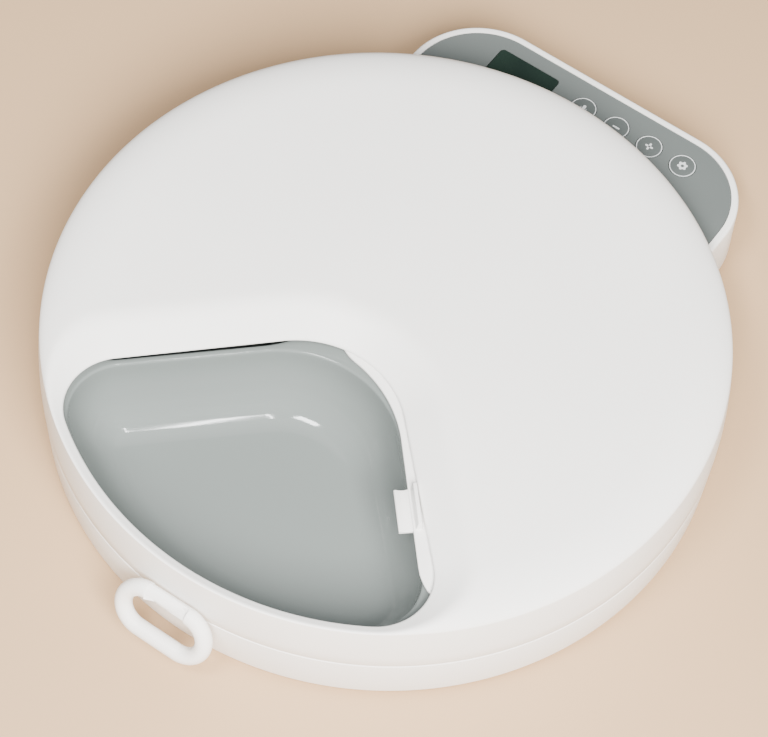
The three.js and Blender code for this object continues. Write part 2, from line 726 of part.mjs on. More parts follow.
const washerTopZ = shutterZ - 2 * gap;
const washerHeight = 1.2;
const washer = disc(pivotRadius + pivotFlange, washerTopZ - washerHeight, washerTopZ, 24)
  .subtract(disc(pivotScrewHole, 0, lidTopZ, 12));
place('shutter_washer', washer, whiteInner);
const shutterScrew = screw(3.4, 1.4, 1.2, 7);
place('shutter_screw', shutterScrew, steel, [0, 0, washerTopZ - washerHeight - gap], [Math.PI, 0, 0]);

// Pull ring and the barrel on the lid that it hangs in ------------------------------------------

const barrelHalf = ringStraight / 2 - gap;
const barrelHole = rodAlongX(ringBar + gap, -ringStraight, ringStraight, ringAxisY, ringAxisZ, 16);
const barrel = rodAlongX(barrelRadius, -barrelHalf, barrelHalf, ringAxisY, ringAxisZ, 24)
  .add(box(
    [-barrelHalf, ringAxisY, ringAxisZ - barrelRadius * 0.8],
    [barrelHalf, -bodyRadius + 3, ringAxisZ + barrelRadius * 0.8],
  ))
  .subtract(disc(bodyRadius + lidBulge + gap, 0, lidTopZ, bodyFacets))
  .subtract(barrelHole);
place('ring_barrel', barrel, whiteShell);

function pullRing() {
  const halfBar = ringStraight / 2;
  const drop = 2 * ringEndRadius;
  const end = solid(new THREE.TorusGeometry(ringEndRadius, ringTube, 10, 20).rotateX(Math.PI / 2));
  const reach = ringEndRadius + ringTube + 1;
  const half = end.intersect(box([0, -reach, -reach], [reach, reach, reach]));
  const right = half.translate([halfBar, 0, -ringEndRadius]);
  const left = half.rotate([0, 0, 180]).translate([-halfBar, 0, -ringEndRadius]);
  return rodAlongX(ringTube, -halfBar - 0.1, halfBar + 0.1, 0, -drop, 10)
    .add(right)
    .add(left)
    .add(rodAlongX(ringBar, -halfBar - 1, halfBar + 1, 0, 0, 12));
}
place('pull_ring', pullRing(), whiteShell, [0, ringAxisY, ringAxisZ], [-ringLean, 0, 0]);

// Control panel ----------------------------------------------------------------------------------

const displayCorner = 2;
function grown([x, y], by) {
  return [x + by, y + by];
}
function faceplateBody() {
  const top = housingTopZ - faceplateDrop;
  let body = prism(housingOutline(rimWidth + gap), faceplateZ, top)
    .subtract(disc(housingFrontRadius + gap, 0, housingTopZ + 1, bodyFacets));
  const windowHole = roundedRectangle(grown(displayMin, -gap), grown(displayMax, gap), displayCorner + gap);
  body = body.subtract(prism(windowHole, 0, housingTopZ + 1, 3));
  keyXs.forEach((x) => {
    body = body.subtract(disc(keyRadius + gap, 0, housingTopZ + 1, 16, x, keyRowY));
  });
  postPlaces.forEach(([x, y]) => {
    const post = disc(boardPostRadius, boardTopZ + gap, faceplateZ + overlap, 12, x, y);
    body = body.add(post).subtract(disc(boardScrewHole, 0, faceplateZ - 0.6, 8, x, y));
  });
  return body;
}
place('faceplate', faceplateBody(), greyPanel);

const windowShape = roundedRectangle(displayMin, displayMax, displayCorner);
const displayWindow = prism(windowShape, faceplateZ + 0.2, housingTopZ - faceplateDrop + 0.1, 3);
place('display_window', displayWindow, darkLens);
place(
  'display_module',
  box([...grown(displayMin, -1.4), boardTopZ + gap], [...grown(displayMax, 1.4), faceplateZ - gap]),
  blackPlastic,
);

// Keys, each on its own switch. The flange under the faceplate keeps the key in.
const switchHeight = 1.2;
const keyTravel = 0.6;
const keyFootZ = boardTopZ + gap + switchHeight + keyTravel + gap;
const keyTopZ = housingTopZ;
const keyFlange = keyRadius + 1;
const keyBody = lathe([
  [0, keyFootZ],
  [2, keyFootZ],
  [2, keyFootZ + 0.7],
  [keyFlange, keyFootZ + 0.7],
  [keyFlange, faceplateZ - gap],
  [keyRadius, faceplateZ - gap],
  [keyRadius, keyTopZ - 0.3],
  [keyRadius - 0.3, keyTopZ],
  [0, keyTopZ],
], 16);
const switchBody = box([-3, -3, 0], [3, 3, switchHeight]);
keyNames.forEach((name, i) => {
  place(name, keyBody, greyPanel, [keyXs[i], keyRowY, 0]);
  place(`switch_${i + 1}`, switchBody, blackPlastic, [keyXs[i], keyRowY, boardTopZ + gap]);
});

let circuitBoard = box(
  [-boardHalfWidth, keyRowY - 8, boardZ],
  [boardHalfWidth, keyRowY + 11.5, boardTopZ],
);
circuitBoard = circuitBoard.intersect(prism(housingOutline(rimWidth + ledgeWidth + gap), 0, housingTopZ));
postPlaces.forEach(([x, y]) => {
  circuitBoard = circuitBoard.subtract(disc(boardScrewHole, 0, housingTopZ, 8, x, y));
});
place('control_board', circuitBoard, board);
const boardScrew = screw(2.3, 1.4, 0.8, 4.6);
postPlaces.forEach(([x, y], i) => {
  place(`board_screw_${i + 1}`, boardScrew, steel, [x, y, boardZ - gap], [Math.PI, 0, 0]);
});
place('microphone', disc(2.2, 0, 1.5, 16), steel, [keyXs[0] + keyPitch / 2, keyRowY + 6.5, boardTopZ + gap]);

// Speaker over its holes in the floor
const speaker = lathe([
  [0, 0],
  [speakerRadius, 0],
  [speakerRadius, 2],
  [speakerRadius * 0.6, 3.4],
  [speakerRadius * 0.6, 5],
  [0, 5],
], 20);
place('speaker', speaker, blackPlastic, [...speakerPlace, floorZ + gap]);

// Power inlet in the left side of the control housing
const jackBore = 3.2;
const jackBody = box(
  [-jackWall + gap, jackY - jackHalfDepth, jackZ - 5],
  [-jackCornerX, jackY + jackHalfDepth, jackZ + 5],
)
  .add(rodAlongX(jackNoseRadius, -housingHalfWidth + 0.2, -jackWall + 1, jackY, jackZ))
  .subtract(rodAlongX(jackBore, -housingHalfWidth - 1, -jackWall + 6, jackY, jackZ));
place('dc_jack', jackBody, blackPlastic);

export default group;
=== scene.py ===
import json
import math

import bpy
from mathutils import Matrix, Vector


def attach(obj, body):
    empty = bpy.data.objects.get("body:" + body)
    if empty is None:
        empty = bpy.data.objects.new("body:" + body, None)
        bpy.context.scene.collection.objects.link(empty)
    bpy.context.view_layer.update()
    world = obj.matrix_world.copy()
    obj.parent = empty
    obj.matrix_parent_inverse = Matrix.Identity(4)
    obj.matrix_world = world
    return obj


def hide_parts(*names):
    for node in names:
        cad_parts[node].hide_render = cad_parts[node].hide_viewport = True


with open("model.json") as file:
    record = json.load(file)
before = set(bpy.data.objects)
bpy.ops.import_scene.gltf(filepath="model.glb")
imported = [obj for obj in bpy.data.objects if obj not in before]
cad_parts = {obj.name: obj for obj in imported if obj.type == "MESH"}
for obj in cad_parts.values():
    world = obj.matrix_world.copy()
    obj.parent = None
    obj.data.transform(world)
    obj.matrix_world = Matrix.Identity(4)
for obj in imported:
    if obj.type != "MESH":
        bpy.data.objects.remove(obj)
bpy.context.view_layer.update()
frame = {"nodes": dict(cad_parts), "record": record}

mm = 0.001

# Stand and view ---------------------------------------------------------------------------------
# A plain warm pale floor. A large soft light stands at the front right, its own reflection hidden.
# Two small window-like lights show as reflections in the bowl, and a weak one hangs overhead.

bpy.ops.mesh.primitive_plane_add(size=8)
floor = bpy.context.object
floor.name = "floor"


def select_only(piece):
    bpy.ops.object.select_all(action="DESELECT")
    piece.select_set(True)
    bpy.context.view_layer.objects.active = piece


def new_material(name, roughness, metallic=0.0):
    material = bpy.data.materials.new(name)
    material.use_nodes = True
    shader = material.node_tree.nodes["Principled BSDF"]
    shader.inputs["Roughness"].default_value = roughness
    shader.inputs["Metallic"].default_value = metallic
    return material, shader


def add_noise(material, scale, detail=2.0, stretch=(1, 1, 1)):
    nodes, links = material.node_tree.nodes, material.node_tree.links
    place = nodes.new("ShaderNodeTexCoord")
    mapping = nodes.new("ShaderNodeMapping")
    mapping.inputs["Scale"].default_value = stretch
    noise = nodes.new("ShaderNodeTexNoise")
    noise.inputs["Scale"].default_value = scale
    noise.inputs["Detail"].default_value = detail
    links.new(place.outputs["Object"], mapping.inputs["Vector"])
    links.new(mapping.outputs["Vector"], noise.inputs["Vector"])
    return noise.outputs["Fac"]


def tint(material, shader, factor, dark, light, low=0.35, high=0.65):
    nodes, links = material.node_tree.nodes, material.node_tree.links
    ramp = nodes.new("ShaderNodeValToRGB")
    ramp.color_ramp.elements[0].position = low
    ramp.color_ramp.elements[0].color = (*dark, 1)
    ramp.color_ramp.elements[1].position = high
    ramp.color_ramp.elements[1].color = (*light, 1)
    links.new(factor, ramp.inputs["Fac"])
    links.new(ramp.outputs["Color"], shader.inputs["Base Color"])


def vary_roughness(material, shader, factor, low, high):
    nodes, links = material.node_tree.nodes, material.node_tree.links
    spread = nodes.new("ShaderNodeMapRange")
    spread.inputs["To Min"].default_value = low
    spread.inputs["To Max"].default_value = high
    links.new(factor, spread.inputs["Value"])
    links.new(spread.outputs["Result"], shader.inputs["Roughness"])


def roughen(material, shader, height, strength, depth):
    nodes, links = material.node_tree.nodes, material.node_tree.links
    bump = nodes.new("ShaderNodeBump")
    bump.inputs["Strength"].default_value = strength
    bump.inputs["Distance"].default_value = depth
    links.new(height, bump.inputs["Height"])
    links.new(bump.outputs["Normal"], shader.inputs["Normal"])


def soften(colour, share):
    return tuple(channel * share for channel in colour)


floor_paint, floor_shader = new_material("floor_paint", 0.6)
floor_colour = (0.50, 0.33, 0.19)
tint(floor_paint, floor_shader, add_noise(floor_paint, 3), soften(floor_colour, 0.97), floor_colour)
floor.data.materials.append(floor_paint)

world = bpy.data.worlds.new("studio")
world.use_nodes = True
backdrop = world.node_tree.nodes["Background"]
backdrop.inputs["Color"].default_value = (0.92, 0.95, 1.0, 1)
backdrop.inputs["Strength"].default_value = 0.07
bpy.context.scene.world = world


def add_light(name, place, aim, width, height, watts, colour):
    bpy.ops.object.light_add(type="AREA", location=place)
    light = bpy.context.object
    light.name = name
    light.data.shape = "RECTANGLE"
    light.data.size = width
    light.data.size_y = height
    light.data.energy = watts
    light.data.color = colour
    towards = Vector(aim) - Vector(place)
    light.rotation_euler = towards.to_track_quat("-Z", "Y").to_euler()
    return light


key = add_light("key", (0.86, -0.92, 1.30), (0.05, -0.05, 0), 1.0, 0.8, 150, (1.0, 0.985, 0.955))
key.visible_glossy = False
add_light("window", (-0.11, -0.87, 1.84), (-0.01, -0.04, 0.02), 0.50, 0.32, 30, (1.0, 1.0, 1.0))
add_light(
    "narrow_window", (0.535, -0.54, 1.87), (-0.06, -0.085, 0.02), 0.045, 0.42, 5, (1.0, 1.0, 1.0)
)
add_light("overhead", (-0.1, 0.1, 2.1), (0, 0, 0), 1.6, 1.4, 5, (1.0, 0.99, 0.97))

camera_turn = math.radians(31.57)
camera_rise = math.radians(57.98)
camera_tilt = math.radians(0.48)
camera_roll = math.radians(4.41)
camera_distance = 1.3817
level_part = camera_distance * math.cos(camera_rise)
camera_place = Vector((
    level_part * math.sin(camera_turn),
    -level_part * math.cos(camera_turn),
    camera_distance * math.sin(camera_rise),
))
bpy.ops.object.camera_add()
camera = bpy.context.object
camera.data.sensor_width = 36
camera.data.lens = 145.3
camera.matrix_world = (
    Matrix.Translation(camera_place)
    @ Matrix.Rotation(camera_turn, 4, "Z")
    @ Matrix.Rotation(math.pi / 2 - camera_rise + camera_tilt, 4, "X")
    @ Matrix.Rotation(camera_roll, 4, "Z")
)
bpy.context.scene.camera = camera

# Lid --------------------------------------------------------------------------------------------
# One injection-moulded ABS cover, 2.2 mm thick, with a low domed shoulder. Its top slopes softly
# down into the serving opening, whose edge is turned under. It lifts off the base by hand.

white_shell, white_shader = new_material("white_shell", 0.36)
white = (0.83, 0.82, 0.80)
tint(white_shell, white_shader, add_noise(white_shell, 14), soften(white, 0.975), white)
vary_roughness(white_shell, white_shader, add_noise(white_shell, 45, 3), 0.32, 0.42)
roughen(white_shell, white_shader, add_noise(white_shell, 2600, 3), 0.05, 0.0001)

opening = {
    "half_angle": math.radians(45.35),
    "side_inset": 0.0,
    "radius": 144.5 * mm,
    "corner": 24.5 * mm,
    "apex": 18.6 * mm,
}
opening_turn = math.radians(-0.75)
ray_centre = Vector((0, -85 * mm))


def sector_distance(x, y, half_angle, side_inset, radius, corner, apex):
    """How far a point lies outside a rounded sector that opens towards the front."""
    ahead, aside = -y, abs(x)
    cosine, sine = math.cos(half_angle), math.sin(half_angle)
    along = ahead * cosine + aside * sine
    apex_centre = (apex - side_inset) / (1 - sine)
    if along < apex_centre * cosine:
        return math.hypot(ahead - apex_centre, aside) - (apex_centre - apex)
    track = radius - corner
    corner_angle = half_angle - math.asin((side_inset + corner) / track)
    corner_ahead, corner_aside = track * math.cos(corner_angle), track * math.sin(corner_angle)
    past_side = along > corner_ahead * cosine + corner_aside * sine
    if past_side and math.atan2(aside, ahead) > corner_angle:
        return math.hypot(ahead - corner_ahead, aside - corner_aside) - corner
    return max(aside * cosine - ahead * sine + side_inset, math.hypot(ahead, aside) - radius)


def reach_level(direction, level, sector):
    """The point on a ray from ray_centre that lies `level` outside the sector's outline."""
    near, far = 0.0, 0.4
    for _ in range(40):
        middle = (near + far) / 2
        spot = ray_centre + direction * middle
        if sector_distance(*spot, **sector) < level:
            near = middle
        else:
            far = middle
    return ray_centre + direction * near


def wrap_grid(name, columns, rows, place, closed=True):
    """A flat grid whose corners are moved to place(column, row), with its side seam welded."""
    bpy.ops.object.select_all(action="DESELECT")
    bpy.ops.mesh.primitive_grid_add(x_subdivisions=columns, y_subdivisions=rows, size=1)
    piece = bpy.context.object
    piece.name = name
    for corner in piece.data.vertices:
        column = round((corner.co.x + 0.5) * columns)
        row = round((corner.co.y + 0.5) * rows)
        corner.co = place(column % columns if closed else column, row)
    bpy.ops.object.mode_set(mode="EDIT")
    bpy.ops.mesh.select_all(action="SELECT")
    bpy.ops.mesh.remove_doubles(threshold=1e-7)
    bpy.ops.mesh.normals_make_consistent(inside=False)
    bpy.ops.object.mode_set(mode="OBJECT")
    return piece


def apply_modifier(piece, kind, **settings):
    select_only(piece)
    modifier = piece.modifiers.new(kind.lower(), kind)
    for key, value in settings.items():
        setattr(modifier, key, value)
    bpy.ops.object.modifier_apply(modifier=modifier.name)


def smooth(piece, degrees=35):
    select_only(piece)
    bpy.ops.object.shade_smooth_by_angle(angle=math.radians(degrees))


def join(pieces, name):
    bpy.ops.object.select_all(action="DESELECT")
    for piece in pieces:
        piece.select_set(True)
    bpy.context.view_layer.objects.active = pieces[0]
    bpy.ops.object.join()
    pieces[0].name = name
    return pieces[0]


def fit(piece, material, body, slot, *nodes):
    """Gives a finished piece its material, its body and the CAD nodes that it stands for."""
    select_only(piece)
    bpy.ops.object.transform_apply(location=True, rotation=True, scale=True)
    piece.data.materials.clear()
    piece.data.materials.append(material)
    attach(piece, body)
    if nodes:
        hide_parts(*nodes)


def add_cylinder(name, radius, low, high, x=0.0, y=0.0, vertices=96):
    bpy.ops.object.select_all(action="DESELECT")
    bpy.ops.mesh.primitive_cylinder_add(
        vertices=vertices, radius=radius, depth=high - low, location=(x, y, (low + high) / 2)
    )
    piece = bpy.context.object
    piece.name = name
    bpy.ops.object.transform_apply(location=True, rotation=True, scale=True)
    return piece


def add_block(name, low, high, edge=0.0, segments=3):
    bpy.ops.object.select_all(action="DESELECT")
    low, high = Vector(low), Vector(high)
    bpy.ops.mesh.primitive_cube_add(size=1, location=(low + high) / 2, scale=high - low)
    block = bpy.context.object
    block.name = name
    bpy.ops.object.transform_apply(location=True, rotation=True, scale=True)
    if edge:
        bpy.ops.object.mode_set(mode="EDIT")
        bpy.ops.mesh.select_all(action="SELECT")
        bpy.ops.mesh.bevel(offset=edge, segments=segments, affect="EDGES")
        bpy.ops.object.mode_set(mode="OBJECT")
    return block


lid_top = 61.5 * mm
lid_flat_radius = 126 * mm
crest_radius = 149.3 * mm
crest_height = 55 * mm
edge_height = 53.5 * mm
edge_foot = 52.5 * mm
edge_round = 0.8 * mm
recess_slope = 0.5
recess_blend = 2.2 * mm
lid_skin = 2.2 * mm


def soft_lower(a, b, blend):
    share = min(max(0.5 + 0.5 * (b - a) / blend, 0), 1)
    return b + (a - b) * share - blend * share * (1 - share)


def lid_height(x, y):
    over = (math.hypot(x, y) - lid_flat_radius) / (crest_radius - lid_flat_radius)
    dome = lid_top
    if over > 0:
        dome = crest_height + (lid_top - crest_height) * max(1 - over**2, 0) ** 0.575
    recess = edge_height + recess_slope * max(sector_distance(x, y, **opening), 0)
    return soft_lower(dome, recess, recess_blend)


lid_rays = 360
edge_steps = 5
top_steps = 54
wall_profile = [
    (149.5, 53), (149.75, 50), (150.1, 44), (150.25, 36), (150.05, 29), (149.85, 28.5), (149.4, 28.3)
]
edge_levels = [
    edge_round * (1 - math.cos(math.pi / 2 * i / edge_steps)) for i in range(edge_steps + 1)
]
lid_rows = []
for ray in range(lid_rays):
    turn = 2 * math.pi * ray / lid_rays
    direction = Vector((math.sin(turn), -math.cos(turn)))
    across = ray_centre.dot(direction)
    reach = -across + math.sqrt(across**2 + crest_radius**2 - ray_centre.length_squared)
    crest = ray_centre + direction * reach
    edge = reach_level(direction, 0, opening)
    row = [(*edge, edge_foot)]
    for level in edge_levels:
        spot = reach_level(direction, level, opening)
        sunk = edge_round - math.sqrt(max(edge_round**2 - (edge_round - level) ** 2, 0))
        row.append((*spot, lid_height(*spot) - sunk))
    start = reach_level(direction, edge_round, opening)
    crowding = 2.2
    for step in range(1, top_steps + 1):
        share = 0.5 + 0.5 * math.tanh(crowding * (2 * step / top_steps - 1)) / math.tanh(crowding)
        if share > 0.5:
            share = 1 - 0.5 * (2 - 2 * share) ** 1.35
        spot = start.lerp(crest, share)
        row.append((*spot, lid_height(*spot)))
    for radius, height in wall_profile:
        row.append((*(crest.normalized() * radius * mm), height * mm))
    lid_rows.append(row)

lid = wrap_grid("lid_shell", lid_rays, len(lid_rows[0]) - 1, lambda ray, row: lid_rows[ray][row])
apply_modifier(lid, "SOLIDIFY", thickness=lid_skin, offset=-1.0, use_even_offset=True)
pivot_flange = add_cylinder("pivot_flange", 10 * mm, 51.5 * mm, 55.4 * mm)
pivot_core = add_cylinder("pivot_core", 6 * mm, 49.2 * mm, 59.6 * mm)
join([lid, pivot_flange, pivot_core], "lid_shell")
lid.data.transform(Matrix.Rotation(opening_turn, 4, "Z"))
smooth(lid)
fit(lid, white_shell, "lid", "white_shell", "lid_cover")

# Food tray --------------------------------------------------------------------------------------
# A one-piece tray of four bowls in polished food-safe plastic, 2 mm thick. The bowls meet in
# narrow webs, and the hub underneath drops over the turntable's square drive.

grey_tray, grey_shader = new_material("grey_tray", 0.08)
tray_grey = (0.160, 0.180, 0.174)
tint(grey_tray, grey_shader, add_noise(grey_tray, 9), soften(tray_grey, 0.97), tray_grey)
vary_roughness(grey_tray, grey_shader, add_noise(grey_tray, 30, 4), 0.06, 0.11)
roughen(grey_tray, grey_shader, add_noise(grey_tray, 160, 2), 0.03, 0.0001)
grey_shader.inputs["Coat Weight"].default_value = 0.25
grey_shader.inputs["Coat Roughness"].default_value = 0.05

bowl = {
    "half_angle": math.radians(45),
    "side_inset": 1.75 * mm,
    "radius": 143 * mm,
    "corner": 24 * mm,
    "apex": 24 * mm,
}
tray_radius = 145.5 * mm
tray_rim = 47.6 * mm
bowl_floor = 15.8 * mm
bowl_sweep = 22 * mm
rim_round = 1.2 * mm
hub_radius = 18 * mm
tray_skin = 2 * mm
tray_turn = math.radians(-1.7)

quarter = math.radians(45)
front_arc = [(tray_radius, -quarter + 2 * quarter * i / 56) for i in range(56)]
side_run = [tray_radius + (hub_radius - tray_radius) * i / 44 for i in range(44)]
hub_arc = [(hub_radius, quarter - 2 * quarter * i / 16) for i in range(16)]
quadrant = (
    front_arc
    + [(radius, quarter) for radius in side_run]
    + hub_arc
    + [(radius, -quarter) for radius in reversed(side_run[1:] + [hub_radius])]
)


def polar(radius, angle):
    return Vector((radius * math.sin(angle), -radius * math.cos(angle)))


tray_rows = []
for radius, angle in quadrant:
    border = polar(radius, angle)
    direction = (border - ray_centre).normalized()
    row = [(*border, tray_rim)]
    for step in range(6):
        bend = math.pi / 2 * step / 5
        spot = reach_level(direction, rim_round * (1 - math.sin(bend)), bowl)
        row.append((*spot, tray_rim - rim_round * (1 - math.cos(bend))))
    for step in range(1, 17):
        bend = math.pi / 2 * step / 16
        spot = reach_level(direction, -bowl_sweep * (1 - math.cos(bend)), bowl)
        drop = (tray_rim - rim_round - bowl_floor) * math.sin(bend)
        row.append((*spot, tray_rim - rim_round - drop))
    floor_edge = Vector(row[-1][:2])
    for share in (0.85, 0.65, 0.4, 0.15, 0):
        spot = ray_centre.lerp(floor_edge, share)
        row.append((*spot, bowl_floor - 0.5 * mm * (1 - share**2)))
    tray_rows.append(row)

quadrants = []
for count in range(4):
    spin = Matrix.Rotation(tray_turn + count * math.pi / 2, 4, "Z")
    quadrants.append(wrap_grid(
        f"bowl_{count}", len(tray_rows), len(tray_rows[0]) - 1,
        lambda ray, row: spin @ Vector(tray_rows[ray][row]),
    ))
tray = join(quadrants, "bowl_tray")


def pick_edges(piece, wanted):
    """Edit mode with only the edges whose two ends pass `wanted` selected."""
    select_only(piece)
    bpy.ops.object.mode_set(mode="EDIT")
    bpy.ops.mesh.select_mode(type="EDGE")
    bpy.ops.mesh.select_all(action="DESELECT")
    bpy.ops.object.mode_set(mode="OBJECT")
    vertices = piece.data.vertices
    for edge in piece.data.edges:
        edge.select = all(wanted(vertices[i].co) for i in edge.vertices)
    bpy.ops.object.mode_set(mode="EDIT")


def extrude_edges(shift=(0, 0, 0), scale=1.0):
    bpy.ops.mesh.extrude_edges_move(TRANSFORM_OT_translate={"value": shift})
    if scale != 1.0:
        bpy.ops.transform.resize(value=(scale, scale, 1), center_override=(0, 0, 0))


near = 0.05 * mm
select_only(tray)
bpy.ops.object.mode_set(mode="EDIT")
bpy.ops.mesh.select_all(action="SELECT")
bpy.ops.mesh.remove_doubles(threshold=1e-6)
bpy.ops.mesh.normals_make_consistent(inside=False)
bpy.ops.object.mode_set(mode="OBJECT")
pick_edges(tray, lambda spot: abs(spot.xy.length - hub_radius) < near and spot.z > tray_rim - near)
for drop, scale in ((0.25, 0.983), (0.5, 0.985), (3.0, 0.97), (0.6, 0.97), (0.25, 0.96), (0, 0.02)):
    extrude_edges((0, 0, -drop * mm), scale)
bpy.ops.mesh.edge_face_add()
bpy.ops.object.mode_set(mode="OBJECT")
pick_edges(tray, lambda spot: abs(spot.xy.length - tray_radius) < near)
for drop, scale in ((0.15, 1.0015), (0.35, 1.0008), (1.4, 1.0)):
    extrude_edges((0, 0, -drop * mm), scale)
bpy.ops.mesh.select_all(action="SELECT")
bpy.ops.mesh.normals_make_consistent(inside=False)
bpy.ops.object.mode_set(mode="OBJECT")


def is_turned_down(piece):
    """True where the tray's skin has its upper side marked as its inside."""
    tops = [face for face in piece.data.polygons if face.center.z > tray_rim - near]
    return sum(face.normal.z * face.area for face in tops) < 0


def turn_over(piece):
    select_only(piece)
    bpy.ops.object.mode_set(mode="EDIT")
    bpy.ops.mesh.select_all(action="SELECT")
    bpy.ops.mesh.flip_normals()
    bpy.ops.object.mode_set(mode="OBJECT")


if is_turned_down(tray):
    turn_over(tray)
apply_modifier(tray, "SOLIDIFY", thickness=tray_skin, offset=-1.0)


def combine(target, tool, operation):
    apply_modifier(target, "BOOLEAN", operation=operation, solver="EXACT", object=tool)
    bpy.data.objects.remove(tool)


hub = add_cylinder("hub", 14.5 * mm, 27 * mm, 42 * mm)
hub_socket = add_block("hub_socket", (-8.8 * mm, -8.8 * mm, 20 * mm), (8.8 * mm, 8.8 * mm, 39 * mm))
hub_socket.data.transform(Matrix.Rotation(tray_turn, 4, "Z"))
combine(hub, hub_socket, "DIFFERENCE")
join([tray, hub], "bowl_tray")
smooth(tray)
fit(tray, grey_tray, "turntable", "grey_tray", "food_tray")

# Shutter ----------------------------------------------------------------------------------------
# A thin moulded blade that turns by hand under the lid, with a dished finger tab that stands up
# beside the opening. Its hub is held to the lid's pivot by a washer and a screw.

shutter_top = 51.2 * mm
shutter_foot = 49.5 * mm
shutter_radius = 143.5 * mm
shutter_hub = 20.5 * mm
shutter_lead = math.radians(41.7)
shutter_trail = math.radians(137.7)


def arc(centre, radius, start, end, steps):
    turns = [start + (end - start) * i / steps for i in range(steps + 1)]
    return [Vector(centre) + radius * Vector((math.cos(turn), math.sin(turn))) for turn in turns]


def add_plate(name, outline, low, high, edge=0.0):
    """A filled circle drawn out to an outline, pulled up to its thickness, with softened edges."""
    bpy.ops.object.select_all(action="DESELECT")
    bpy.ops.mesh.primitive_circle_add(vertices=len(outline), radius=1, fill_type="NGON")
    piece = bpy.context.object
    piece.name = name
    order = sorted(piece.data.vertices, key=lambda corner: math.atan2(corner.co.y, corner.co.x))
    for corner, spot in zip(order, outline):
        corner.co = (spot[0], spot[1], low)
    bpy.ops.object.mode_set(mode="EDIT")
    bpy.ops.mesh.select_all(action="SELECT")
    bpy.ops.mesh.extrude_region_move(TRANSFORM_OT_translate={"value": (0, 0, high - low)})
    bpy.ops.mesh.select_all(action="SELECT")
    bpy.ops.mesh.normals_make_consistent(inside=False)
    bpy.ops.object.mode_set(mode="OBJECT")
    if edge:
        for level in (low, high):
            pick_edges(piece, lambda spot: abs(spot.z - level) < 1e-6)
            bpy.ops.mesh.bevel(offset=edge, segments=3, affect="EDGES")
            bpy.ops.object.mode_set(mode="OBJECT")
    return piece


def tidy_outline(points, least=0.05 * mm):
    kept = [points[0]]
    for point in points[1:]:
        if (point - kept[-1]).length > least:
            kept.append(point)
    if (kept[-1] - kept[0]).length <= least:
        kept.pop()
    return kept


def blade_outline():
    half = math.pi / 2
    lead_fillet, trail_fillet, corner = 63 * mm, 12 * mm, 24.5 * mm
    lead_turn = shutter_lead - math.asin(lead_fillet / (shutter_hub + lead_fillet))
    trail_turn = shutter_trail + math.asin(trail_fillet / (shutter_hub + trail_fillet))
    corner_turn = math.asin(corner / (shutter_radius - corner))
    first, last = shutter_lead + corner_turn, shutter_trail - corner_turn
    outline = arc(polar(shutter_hub + lead_fillet, lead_turn), lead_fillet,
                  lead_turn + half, shutter_lead, 20)
    outline += arc(polar(shutter_radius - corner, first), corner,
                   shutter_lead - math.pi, first - half, 16)
    outline += arc((0, 0), shutter_radius, first - half, last - half, 60)
    outline += arc(polar(shutter_radius - corner, last), corner, last - half, shutter_trail, 16)
    outline += arc(polar(shutter_hub + trail_fillet, trail_turn), trail_fillet,
                   shutter_trail + math.pi, trail_turn + half, 12)
    outline += arc((0, 0), shutter_hub, trail_turn - half, lead_turn + 3 * half, 40)
    return tidy_outline(outline)


blade = add_plate("hand_shutter", blade_outline(), shutter_foot, shutter_top, 0.45 * mm)
combine(blade, add_cylinder("pivot_hole", 6.3 * mm, 40 * mm, 60 * mm), "DIFFERENCE")

tab_start = 78.5 * mm
tab_length = 20 * mm
tab_section = [
    (-6.0, 48.5), (3.6, 48.5), (3.7, 55.0), (3.45, 55.5), (2.9, 55.7), (2.1, 55.6), (1.7, 55.1),
    (1.55, 53.6), (1.4, 52.3), (0.9, 51.1), (-0.2, 50.5), (-1.6, 50.0), (-3.0, 50.05), (-4.2, 50.4),
    (-5.1, 50.9), (-5.6, 51.0), (-6.05, 50.6),
]
tab_outline = [Vector(point) * mm for point in tab_section]
tab = add_plate("tab", tab_outline, tab_start, tab_start + tab_length, 0.3 * mm)
tab.data.transform(Matrix.Rotation(shutter_lead - math.pi / 2, 4, "Z") @ Matrix((
    (0, 0, 1, 0),
    (1, 0, 0, 0),
    (0, 1, 0, 0),
    (0, 0, 0, 1),
)))
combine(blade, tab, "UNION")
smooth(blade)
fit(blade, white_shell, "shutter", "white_shell", "shutter")

# Pull ring and its barrel -----------------------------------------------------------------------
# The barrel is moulded on the lid's wall and glued in its seat. The ring is one moulding whose
# thin upper bar turns in the barrel's bore, so the ring hangs a little away from the wall.

ring_axis_y = -155 * mm
ring_axis_z = 36 * mm
ring_end_radius = 10.65 * mm
ring_half_bar = 9.7 * mm
ring_tube = 3.8 * mm
ring_bar = 2.6 * mm
ring_lean = math.radians(22)

bpy.ops.object.select_all(action="DESELECT")
bpy.ops.mesh.primitive_torus_add(
    major_segments=96, minor_segments=32, major_radius=ring_end_radius, minor_radius=ring_tube,
    rotation=(math.pi / 2, 0, math.pi / 96), location=(0, 0, -ring_end_radius),
)
ring = bpy.context.object
bpy.ops.object.transform_apply(location=True, rotation=True, scale=True)
for corner in ring.data.vertices:
    corner.co.x += math.copysign(ring_half_bar, corner.co.x)
bpy.ops.object.mode_set(mode="EDIT")
bpy.ops.mesh.select_mode(type="FACE")
bpy.ops.mesh.select_all(action="DESELECT")
bpy.ops.object.mode_set(mode="OBJECT")
for face in ring.data.polygons:
    face.select = abs(face.center.x) < ring_half_bar / 2 and face.center.z > -ring_end_radius
bpy.ops.object.mode_set(mode="EDIT")
bpy.ops.mesh.delete(type="FACE")
bpy.ops.object.mode_set(mode="OBJECT")
select_only(ring)
bpy.ops.object.mode_set(mode="EDIT")
bpy.ops.mesh.select_mode(type="EDGE")
bpy.ops.mesh.select_all(action="DESELECT")
bpy.ops.mesh.select_non_manifold(extend=False)
bpy.ops.mesh.fill_holes(sides=0)
